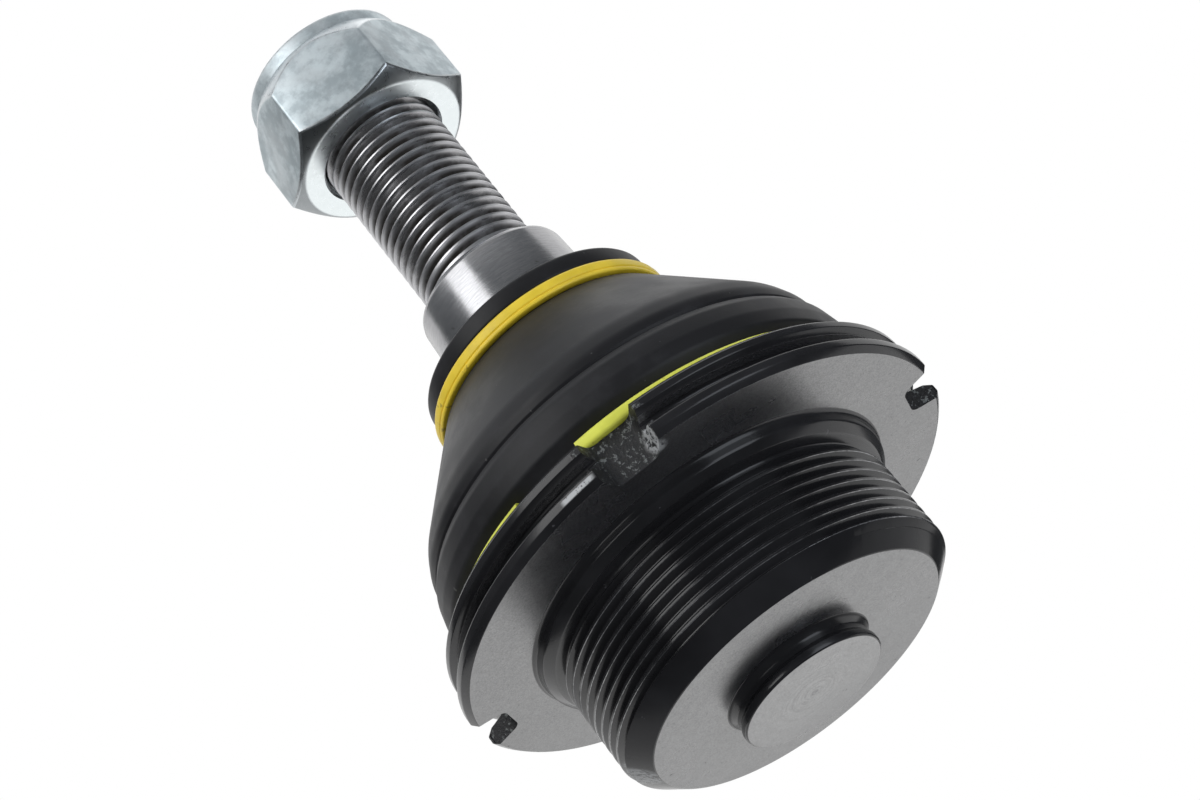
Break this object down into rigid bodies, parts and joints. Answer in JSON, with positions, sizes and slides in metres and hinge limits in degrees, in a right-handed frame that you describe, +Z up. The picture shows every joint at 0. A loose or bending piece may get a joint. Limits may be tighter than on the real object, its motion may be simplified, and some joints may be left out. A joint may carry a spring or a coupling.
{
  "type": "suspension ball joint",
  "caption": "Screw-in suspension ball joint: threaded housing with slotted flange, rubber boot with two clamp rings, tilting and turning ball stud with taper, thread and lock nut.",
  "frame": {"origin": "on the housing's axis in the plane of the flange's seating face", "axes": "+Z up the stud to the nut, the threaded body and the boss on its closed end reach to -Z; one tool slot lies on each of +X, -X, +Y and -Y; two flats of the nut face +Y and -Y"},
  "size_m": [0.0666, 0.0666, 0.1092],
  "materials": {
    "black_coat": "semi-gloss black coating on forged steel",
    "stud_steel": "ground taper, rolled thread",
    "plain_steel": "plain",
    "spring_steel": "tempered",
    "bearing_plastic": "smooth, greased",
    "boot_rubber": "satin",
    "golden_coat": "golden yellow coating on spring wire",
    "lemon_coat": "lemon yellow coating on spring wire",
    "zinc_plate": "bright zinc plate, slightly mottled",
    "nylon": "smooth"
  },
  "bodies": {
    "housing": {"housing": "black_coat", "preload_spring": "spring_steel", "bearing_cup": "bearing_plastic", "bearing_ring": "bearing_plastic", "closing_ring": "plain_steel", "boot_clamp_housing": "lemon_coat"},
    "boot": {"boot": "boot_rubber"},
    "boot_lip": {"boot_clamp_stud": "golden_coat"},
    "stud": {"ball_stud": "stud_steel"},
    "nut_carrier": {"nut_insert": "nylon"},
    "nut": {"nut_body": "zinc_plate"}
  },
  "joints": [
    {"name": "swivel", "type": "hinge", "parent": "housing", "child": "boot", "pos_m": [0, 0, 0.00315], "axis": [0, 0, 1], "continuous": true},
    {"name": "tilt", "type": "hinge", "parent": "boot", "child": "boot_lip", "pos_m": [0, 0, 0.00315], "axis": [1, 0, 0], "range_deg": [-25, 25], "deforming": ["boot"]},
    {"name": "spin", "type": "hinge", "parent": "boot_lip", "child": "stud", "pos_m": [0, 0, 0.00315], "axis": [0, 0, 1], "continuous": true},
    {"name": "nut_travel", "type": "slide", "parent": "stud", "child": "nut_carrier", "axis": [0, 0, -1], "range_m": [-0.01351, 0.02401]},
    {"name": "nut_turn", "type": "hinge", "parent": "nut_carrier", "child": "nut", "pos_m": [0, 0, 0.081], "axis": [0, 0, -1], "range_deg": [-3240, 5760]}
  ],
  "couplings": [
    {"joint": "nut_turn", "follows": "nut_travel", "rad_per_m": 4188.8}
  ]
}
